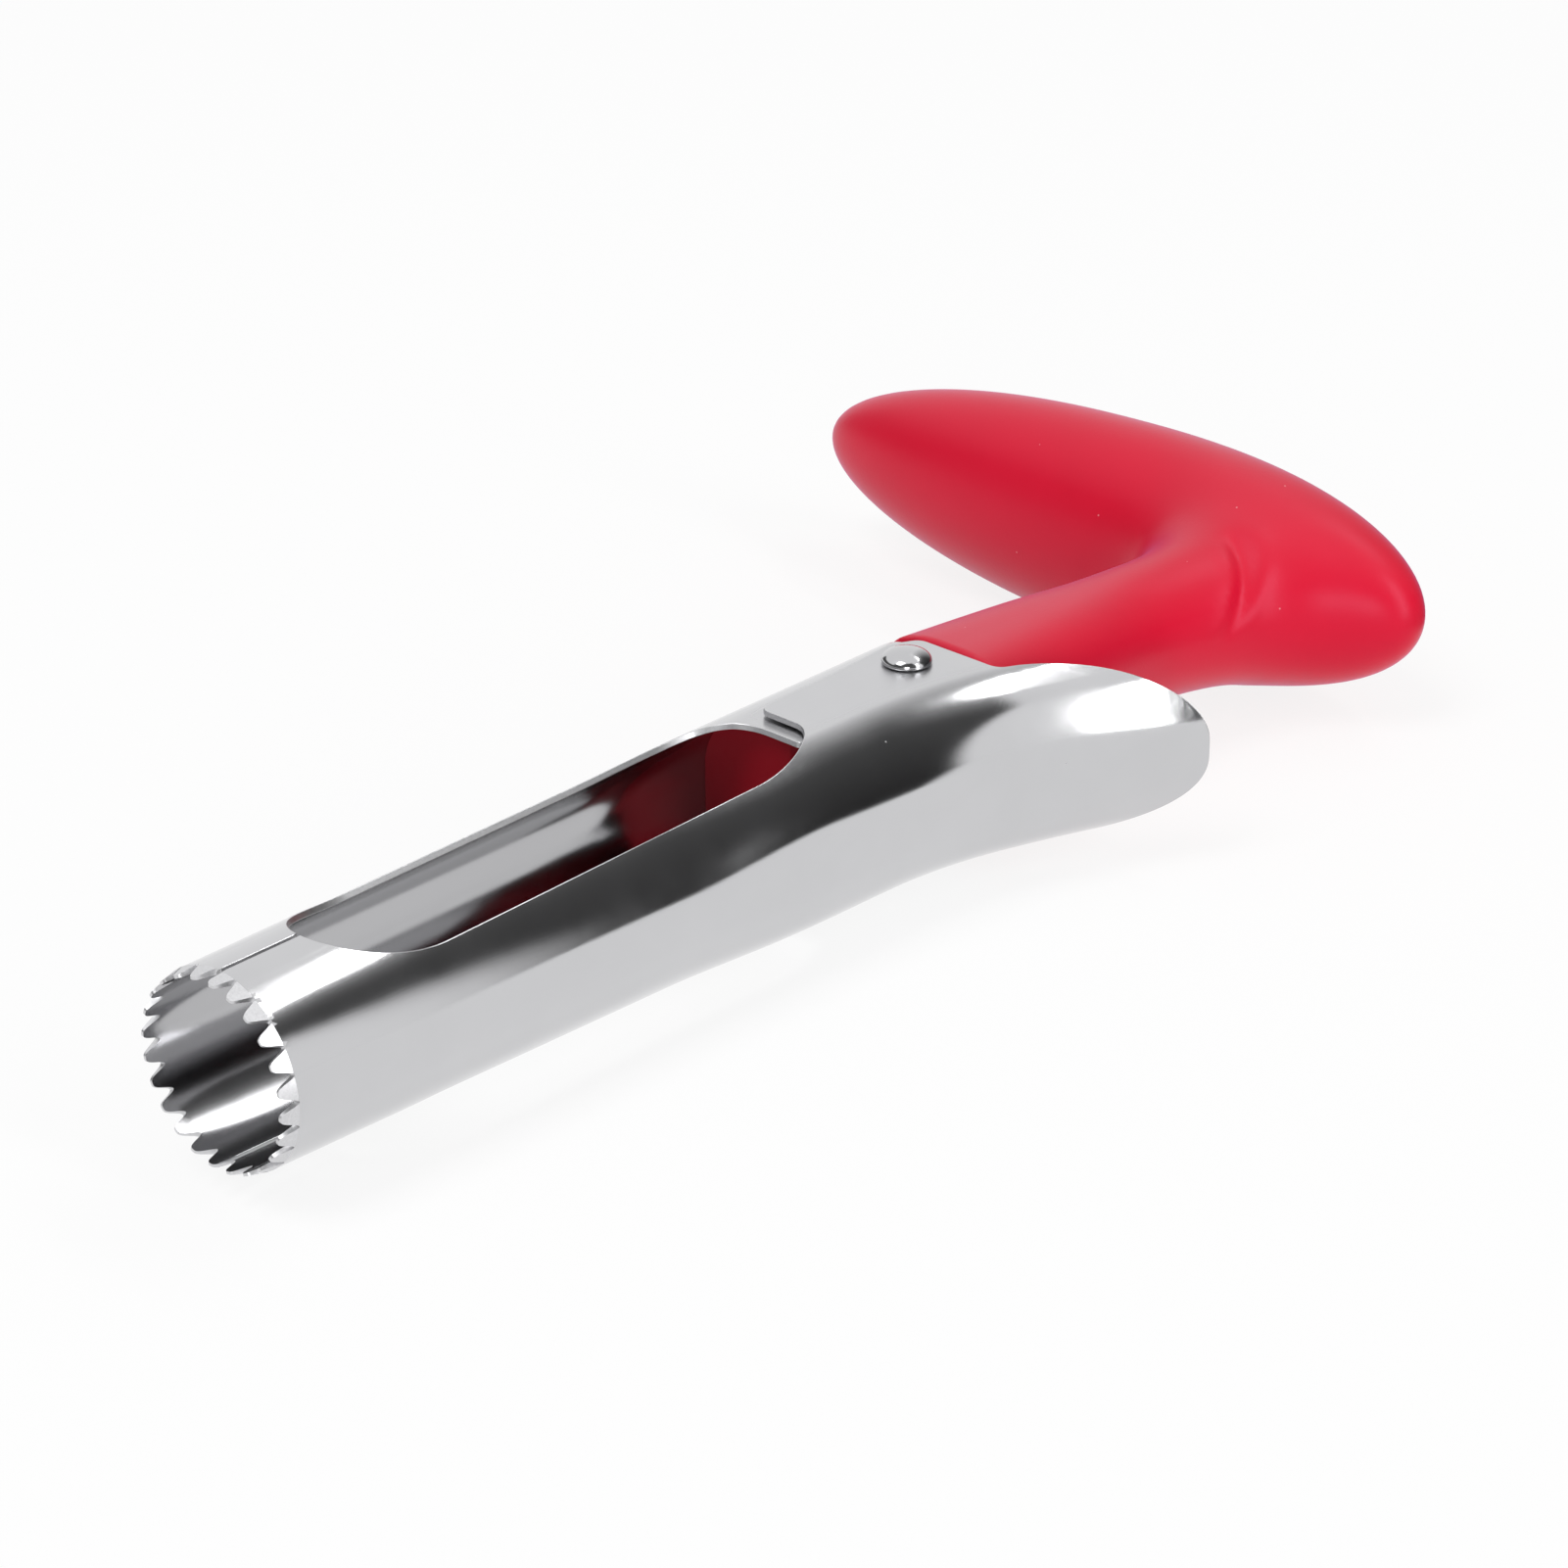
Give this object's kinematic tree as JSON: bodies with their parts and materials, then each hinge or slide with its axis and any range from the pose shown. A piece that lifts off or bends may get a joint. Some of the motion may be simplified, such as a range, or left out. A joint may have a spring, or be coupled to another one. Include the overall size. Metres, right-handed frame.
{
  "type": "apple corer",
  "caption": "Hand apple corer: a toothed steel tube split into a fixed shell and a hinged jaw with a thumb lever, windows on both faces and an off-centre red crossbar handle.",
  "frame": {"origin": "middle of the overall box, at its lowest level, with the tool lying flat", "axes": "+Y along the barrel from the teeth to the handle, +X towards the thumb lever, +Z along the rivet"},
  "size_m": [0.1088, 0.2012, 0.0313],
  "materials": {
    "polished_steel": "mirror-polished stainless steel sheet",
    "spring_steel": "drawn wire",
    "red_core": "moulded, satin",
    "red_grip": "soft-touch, satin"
  },
  "bodies": {
    "handle": {"handle_core": "red_core", "handle_grip": "red_grip", "rivet_post": "polished_steel", "rivet_pin": "polished_steel", "return_spring": "spring_steel", "fixed_shell": "polished_steel"},
    "jaw": {"moving_jaw": "polished_steel"}
  },
  "joints": [
    {"name": "jaw_hinge", "type": "hinge", "parent": "handle", "child": "jaw", "pos_m": [0.02796, 0.01135, 0.01564], "axis": [0, 0, 1], "range_deg": [0, 14], "stiffness_Nm_per_rad": 0.15, "springref_deg": -14.32, "deforming": ["return_spring"]}
  ]
}
